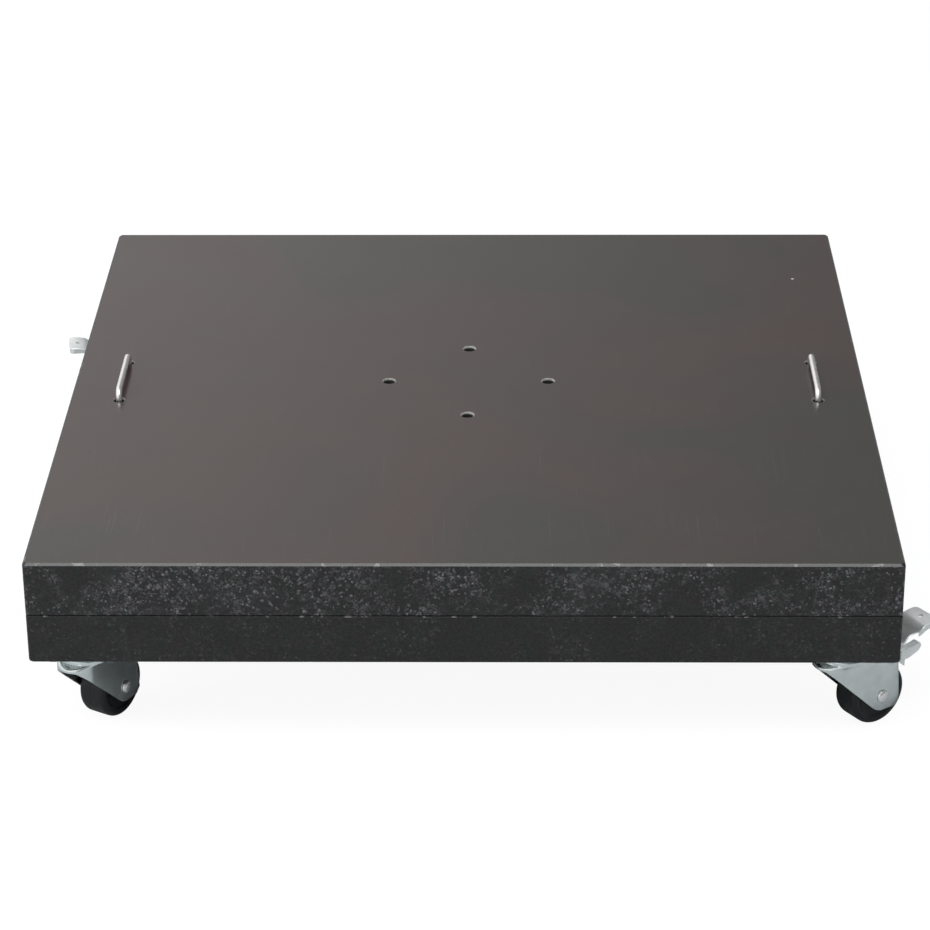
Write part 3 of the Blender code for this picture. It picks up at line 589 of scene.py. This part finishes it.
def prism(points, half, shift=0.0):
    """Side-view (x, z) outline stretched along Y, from shift - half to shift + half."""
    bm = grid([[Vector((x, shift + y, z)) for x, z in points] for y in (-half, half)], closed=True)
    bmesh.ops.holes_fill(bm, edges=[e for e in bm.edges if e.is_boundary], sides=len(points) + 1)
    return bm


def soft_outline(points, radius, steps=4):
    """Closed (x, z) outline with its corners rounded."""
    ring = [points[-1]] + list(points) + [points[0]]
    out = rounded(ring, radius, steps)
    return out[1:-1]


def pedal_bends():
    """Side view of the pedal's sheet, from the pin to the tip."""
    px, pz, tip, top = PIN_X, -PIN_DROP, PIN_X + PEDAL_REACH, -PEDAL_TOP
    return curve_through([
        (px - 0.0010, pz + 0.0040), (px + 0.0070, pz + 0.0038), (px + 0.0150, pz + 0.0036),
        (px + 0.0215, pz + 0.0043), (tip - 0.0265, top - 0.0112), (tip - 0.0228, top - 0.0075),
        (tip - 0.0196, top - 0.0040), (tip - 0.0158, top - 0.0016), (tip - 0.0110, top - 0.0005),
        (tip - 0.0060, top), (tip - 0.0008, top),
    ], 81)


def pedal_half(x):
    """Half width of the pedal at x: the neck, the flare and the round corners of the toe."""
    tip = PIN_X + PEDAL_REACH
    flare = smooth_step((x - (tip - 0.0275)) / 0.0090)
    over = max(x - (tip - PEDAL_CORNER), 0.0)
    corner = PEDAL_CORNER - math.sqrt(max(PEDAL_CORNER ** 2 - over ** 2, 0.0))
    return PEDAL_NECK + (PEDAL_HALF - PEDAL_NECK) * flare - corner


def pedal_plate():
    """Neck, slope and toe plate as one bent sheet."""
    rows = []
    for p in pedal_bends():
        half = pedal_half(p.x) - PEDAL_ROUND
        rows.append([Vector((p.x, half * (k / 6.0 - 1.0), p.y)) for k in range(13)])
    return grid(rows)


def pedal_rim():
    """Flange turned down round the toe plate, from one side round the tip to the other."""
    tip, top = PIN_X + PEDAL_REACH, -PEDAL_TOP
    bends = pedal_bends()
    xs = [tip - 0.0212 + 0.0172 * k / 20.0 for k in range(21)]
    plan = [(x, pedal_half(x)) for x in xs]
    for k in range(1, 9):
        angle = k * math.pi / 16.0
        plan.append((tip - PEDAL_CORNER + PEDAL_CORNER * math.sin(angle),
                     PEDAL_HALF - PEDAL_CORNER + PEDAL_CORNER * math.cos(angle)))
    for k in range(1, 6):
        plan.append((tip, (PEDAL_HALF - PEDAL_CORNER) * (1.0 - k / 5.0)))
    plan += [(x, -y) for x, y in reversed(plan[:-1])]
    columns = []
    for i, (x, y) in enumerate(plan):
        before, after = Vector(plan[max(i - 1, 0)]), Vector(plan[min(i + 1, len(plan) - 1)])
        along = (after - before).normalized()
        inward = Vector((along.y, -along.x))
        near = min(bends, key=lambda p: abs(p.x - x))
        high = near.y
        t = min(max((tip - 0.0110 - x) / 0.0102, 0.0), 1.0)
        low = top - 0.0054 - 0.0050 * t * t
        low = min(low, high - 0.0016)
        column = []
        for inset, z in ((PEDAL_ROUND, high), (PEDAL_ROUND * 0.45, high - PEDAL_ROUND * 0.12),
                         (PEDAL_ROUND * 0.12, high - PEDAL_ROUND * 0.45), (0.0, high - PEDAL_ROUND),
                         (0.0, (high + low) / 2.0), (0.0, low)):
            column.append(Vector((x + inward.x * inset, y + inward.y * inset, z)))
        columns.append(column)
    return grid(columns)


def pedal_blocks():
    """Outlines of the pedal's solid pieces below its sheet: (outline, half width, shift)."""
    px, pz = PIN_X, -PIN_DROP
    inner = PEDAL_INNER
    dx, dz = TRAIL - px, -AXLE_DROP - pz
    c, s = math.cos(PEDAL_PRESS), math.sin(PEDAL_PRESS)
    hub_x, hub_z = px + dx * c - dz * s, pz + dx * s + dz * c
    reach = WHEEL_R + SHOE_GAP
    shoe = [(px + 0.0190, pz + 0.0034), (px + 0.0030, pz + 0.0034)]
    for k in range(16):
        x = px + 0.0040 + 0.0010 * k
        shoe.append((x, hub_z + math.sqrt(reach * reach - (x - hub_x) ** 2)))
    ear = [
        (px + 0.0130, pz + 0.0022), (px + 0.0130, pz - 0.0068), (px + 0.0205, pz - 0.0073),
        (px + 0.0316, pz - 0.0035), (px + 0.0350, pz + 0.0004), (px + 0.0338, pz + 0.0042),
        (px + 0.0270, pz + 0.0026), (px + 0.0190, pz + 0.0022),
    ]
    ear_half = (inner - 0.0004 - PEDAL_NECK + 0.0012) / 2.0
    ear_mid = inner - 0.0004 - ear_half
    yield shoe, inner - 0.0020, 0.0
    yield soft_outline(ear, 0.0022), ear_half, ear_mid
    yield soft_outline(ear, 0.0022), ear_half, -ear_mid


def drop_specks(bm):
    """Deletes the small islands that modifiers leave. Slivers joined to the surface stay."""
    seen = set()
    specks = []
    for start in bm.faces:
        if start in seen:
            continue
        seen.add(start)
        island = [start]
        for face in island:
            for edge in face.edges:
                if len(edge.link_faces) != 2:
                    continue
                for other in edge.link_faces:
                    if other not in seen:
                        seen.add(other)
                        island.append(other)
        if len(island) < SPECK_FACES:
            specks.extend(island)
    bmesh.ops.delete(bm, geom=specks, context="FACES")


def settled(*obs, merge=MERGE):
    """One bmesh of the objects with their modifiers applied and most slivers removed. Deletes the objects."""
    bpy.context.view_layer.update()
    graph = bpy.context.evaluated_depsgraph_get()
    bm = bmesh.new()
    for ob in obs:
        mesh = bpy.data.meshes.new_from_object(ob.evaluated_get(graph))
        part = bmesh.new()
        part.from_mesh(mesh)
        bmesh.ops.remove_doubles(part, verts=part.verts, dist=merge)
        bmesh.ops.dissolve_degenerate(part, edges=part.edges, dist=merge / 2.0)
        drop_specks(part)
        part.to_mesh(mesh)
        part.free()
        bm.from_mesh(mesh)
        bpy.data.meshes.remove(mesh)
    for ob in obs:
        bpy.data.objects.remove(ob, do_unlink=True)
    return bm


def pedal_pattern(look):
    """The whole pedal as one object, in the castor's own frame."""
    tip = PIN_X + PEDAL_REACH
    plate = as_object(pedal_plate(), "pedal_plate", look, 60.0, (tip, 0.0, -1.0))
    add_modifier(plate, "SOLIDIFY", thickness=PEDAL_T, offset=-1.0, use_even_offset=True)
    eye = as_object(spun([(-0.05, EYE_R), (0.05, EYE_R)], 32), "pedal_eye", look)
    eye.location = (tip - EYE_BACK, 0.0, 0.0)
    add_modifier(plate, "BOOLEAN", object=eye, operation="DIFFERENCE", solver="EXACT")
    add_bevel(plate, EDGE_R, 2, 50.0)
    rim = as_object(pedal_rim(), "pedal_rim", look, 60.0, (tip - 0.0120, 0.0, -PEDAL_TOP))
    add_modifier(rim, "SOLIDIFY", thickness=RIM_T, offset=-1.0, use_even_offset=True)
    parts = [plate, rim]
    for number, (outline, half, shift) in enumerate(pedal_blocks()):
        block = as_object(prism(outline, half, shift), f"pedal_block_{number}", look, 50.0)
        add_bevel(block, EDGE_R, 2, 50.0)
        parts.append(block)
    inner = PEDAL_INNER
    bore = PIN_R + 0.00015
    tube = [(-inner, bore), (-inner, PIN_BOSS_R - 0.0004), (-inner + 0.0004, PIN_BOSS_R),
            (inner - 0.0004, PIN_BOSS_R), (inner, PIN_BOSS_R - 0.0004), (inner, bore), (-inner, bore)]
    parts.append(as_object(along_y(spun(tube, 40), PIN_X, -PIN_DROP), "pedal_tube", look, 40.0))
    pattern = as_object(settled(*parts, merge=PEDAL_MERGE), "pedal_pattern", look, 38.0)
    bpy.data.objects.remove(eye, do_unlink=True)
    return pattern


def handle_mesh(tail):
    """U-shaped rod centred on X = 0, Y = 0, from its tails up to the crest."""
    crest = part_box("handle_left")[1].z - ROD_R
    half = (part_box("handle_left")[1].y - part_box("handle_left")[0].y) / 2.0 - ROD_R
    path = [(-half, tail, 0.0)]
    for k in range(9):
        path.append((-half, tail + (crest - ROD_BEND - tail) * (k + 1) / 9.0 - 0.0001, 0.0))
    for k in range(13):
        angle = k * math.pi / 24.0
        y = -half + ROD_BEND * (1.0 - math.cos(angle))
        path.append((y, crest - ROD_BEND + ROD_BEND * math.sin(angle), angle))
    path += [(-y, z, math.pi - angle) for y, z, angle in reversed(path)]
    rows = []
    for y, z, angle in path:
        row = []
        for i in range(28):
            turn = i * math.pi / 14.0
            off = ROD_R * math.cos(turn)
            row.append(Vector((ROD_R * math.sin(turn), y - off * math.cos(angle), z + off * math.sin(angle))))
        rows.append(row)
    bm = grid(rows, closed=True)
    bmesh.ops.holes_fill(bm, edges=[e for e in bm.edges if e.is_boundary], sides=40)
    return bm


# ---------------------------------------------------------------- assembly
def castor_place(label):
    """Matrix from the castor's own frame to the shared frame."""
    swivel = joint_point(f"castor_{label}_swivel_turn")
    axle = joint_point(f"castor_{label}_wheel_spin")
    heading = math.atan2(axle.y - swivel.y, axle.x - swivel.x)
    return Matrix.Translation(swivel) @ Matrix.Rotation(heading, 4, "Z")


def stand_for(ob, node, slot):
    """Let the object ride on the node's body in the node's place."""
    body = NODES[node]["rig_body"]
    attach(ob, body)
    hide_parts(node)


def copy_of(source, name):
    """Another object with the same mesh."""
    ob = bpy.data.objects.new(name, source.data)
    bpy.context.scene.collection.objects.link(ob)
    return ob


def fork_pattern(look):
    """The fork with its sheet thickness and soft edges, in the castor's own frame."""
    sheet = as_object(fork_mesh(), "fork_sheet", look, 60.0, (TRAIL * 0.4, 0.0, -0.5 * AXLE_DROP))
    add_modifier(sheet, "SOLIDIFY", thickness=SHEET_T, offset=-1.0, use_even_offset=True)
    add_bevel(sheet, 0.0003, 2, 50.0)
    return as_object(settled(sheet), "fork_pattern", look, 45.0)


def build_castors(look):
    fork = fork_pattern(look["zinc_fork"])
    wheel = as_object(wheel_mesh(), "wheel_pattern", look["wheel_black"], 60.0)
    axle = as_object(rivet_mesh(AXLE_R, AXLE_HEAD_R, AXLE_HEAD_T), "axle_pattern", look["axle_steel"], 50.0)
    pin = as_object(rivet_mesh(PIN_R, PIN_HEAD_R, PIN_HEAD_T), "pin_pattern", look["pin_steel"], 50.0)
    patterns = (
        (fork, "fork", "zinc_fork", Matrix.Identity(4)),
        (wheel, "wheel", "wheel_black", Matrix.Translation((TRAIL, 0.0, -AXLE_DROP))),
        (axle, "axle", "axle_steel", Matrix.Translation((TRAIL, 0.0, -AXLE_DROP))),
        (pin, "brake_pin", "pin_steel", Matrix.Translation((PIN_X, 0.0, -PIN_DROP))),
        (pedal_pattern(look["zinc_pedal"]), "brake_pedal", "zinc_pedal", Matrix.Identity(4)),
    )
    for label in CASTORS:
        place = castor_place(label)
        for source, part, slot, offset in patterns:
            ob = copy_of(source, f"castor_{label}_{part}_fine")
            ob.matrix_world = place @ offset
            stand_for(ob, f"castor_{label}_{part}", slot)
    for source, *_ in patterns:
        bpy.data.objects.remove(source, do_unlink=True)


def build_handles(look):
    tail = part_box("handle_left")[0].z
    for side in ("left", "right"):
        low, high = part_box("handle_" + side)
        ob = as_object(handle_mesh(tail), f"handle_{side}_rod", look["stainless"], 60.0)
        ob.location = ((low.x + high.x) / 2.0, 0.0, 0.0)
        stand_for(ob, "handle_" + side, "stainless")


def paint_cad(look):
    """Give each CAD node the look that its material slot names."""
    slots = {row["node"]: row["material_slot"] for row in frame["record"]["subparts"]}
    for node, ob in NODES.items():
        ob.data.materials.clear()
        ob.data.materials.append(look[slots[node]])


# ---------------------------------------------------------------- studio
def area_light(name, place, aim, size, power, mirrored):
    data = bpy.data.lights.new(name, "AREA")
    data.shape = "RECTANGLE"
    data.size, data.size_y = size
    data.energy = power
    ob = bpy.data.objects.new(name, data)
    bpy.context.scene.collection.objects.link(ob)
    ob.location = place
    ob.rotation_euler = (Vector(aim) - Vector(place)).to_track_quat("-Z", "Y").to_euler()
    ob.visible_camera = False
    ob.visible_glossy = mirrored


def build_world():
    """White to the eye. What the object sees is a soft grey room, brighter to the left."""
    world = bpy.data.worlds.new("studio")
    bpy.context.scene.world = world
    world.use_nodes = True
    tree = world.node_tree
    tree.nodes.clear()
    out = tree.nodes.new("ShaderNodeOutputWorld")
    mix = tree.nodes.new("ShaderNodeMixShader")
    seen = tree.nodes.new("ShaderNodeBackground")
    room = tree.nodes.new("ShaderNodeBackground")
    path = tree.nodes.new("ShaderNodeLightPath")
    place = tree.nodes.new("ShaderNodeTexCoord")
    split = tree.nodes.new("ShaderNodeSeparateXYZ")
    fall = tree.nodes.new("ShaderNodeMapRange")
    fall.interpolation_type = "SMOOTHSTEP"
    for key, value in (("From Min", -0.26), ("From Max", 0.20), ("To Min", 0.97), ("To Max", 0.28)):
        fall.inputs[key].default_value = value
    seen.inputs["Color"].default_value = (1.0, 1.0, 1.0, 1.0)
    room.inputs["Color"].default_value = (1.0, 0.985, 0.97, 1.0)
    links = (
        (place.outputs["Generated"], split.inputs[0]), (split.outputs["X"], fall.inputs["Value"]),
        (fall.outputs["Result"], room.inputs["Strength"]), (path.outputs["Is Camera Ray"], mix.inputs[0]),
        (room.outputs[0], mix.inputs[1]), (seen.outputs[0], mix.inputs[2]), (mix.outputs[0], out.inputs[0]),
    )
    for a, b in links:
        tree.links.new(a, b)


def build_floor():
    """A pale floor. The eye sees its shadows softened, the object sees them in full."""
    bm = bmesh.new()
    bmesh.ops.create_grid(bm, x_segments=1, y_segments=1, size=30.0)
    floor_look = Shader("floor_pale", (0.36, 0.37, 0.38), 0.0, 0.9, Specular_IOR_Level=0.0)
    tree = floor_look.tree
    glow = floor_look.node("ShaderNodeEmission", {"Color": (1.0, 1.0, 1.0, 1.0), "Strength": 1.22})
    path = floor_look.node("ShaderNodeLightPath")
    share = floor_look.math("MULTIPLY", path.outputs["Is Camera Ray"], 0.76)
    mix = tree.nodes.new("ShaderNodeMixShader")
    tree.links.new(share, mix.inputs[0])
    tree.links.new(floor_look.main.outputs[0], mix.inputs[1])
    tree.links.new(glow.outputs[0], mix.inputs[2])
    tree.links.new(mix.outputs[0], tree.nodes["Material Output"].inputs["Surface"])
    floor = as_object(bm, "floor", floor_look.mat)
    floor.location = (0.0, 0.0, CAD_BOX[0].z - 0.0002)


def build_camera():
    yaw, pitch, roll = math.radians(-0.94916), math.radians(25.99027), math.radians(-0.38708)
    forward = Vector((math.sin(yaw) * math.cos(pitch), math.cos(yaw) * math.cos(pitch), -math.sin(pitch)))
    right = Vector((math.cos(yaw), -math.sin(yaw), 0.0))
    up = right.cross(forward)
    across = right * math.cos(roll) + up * math.sin(roll)
    upward = up * math.cos(roll) - right * math.sin(roll)
    data = bpy.data.cameras.new("camera")
    data.sensor_width = 36.0
    data.lens = 123.44
    data.clip_start, data.clip_end = 0.05, 100.0
    ob = bpy.data.objects.new("camera", data)
    bpy.context.scene.collection.objects.link(ob)
    turn = Matrix((across, upward, -forward)).transposed().to_4x4()
    ob.matrix_world = Matrix.Translation((0.03914, -2.58184, Z_TOP + 1.17568)) @ turn
    bpy.context.scene.camera = ob


def build_studio():
    build_world()
    build_floor()
    build_camera()
    area_light("overhead", (-0.2, -1.3, 2.6), (0.0, 0.0, 0.1), (2.6, 1.6), 70.0, True)
    area_light("left_side", (-2.4, -0.9, 1.0), (0.0, 0.0, 0.1), (1.2, 1.6), 30.0, False)
    area_light("right_side", (2.3, -1.2, 0.9), (0.0, 0.0, 0.1), (0.8, 1.4), 14.0, False)
    bpy.context.scene.view_settings.view_transform = "Standard"


def main():
    look = looks()
    paint_cad(look)
    build_castors(look)
    build_handles(look)
    build_studio()


main()
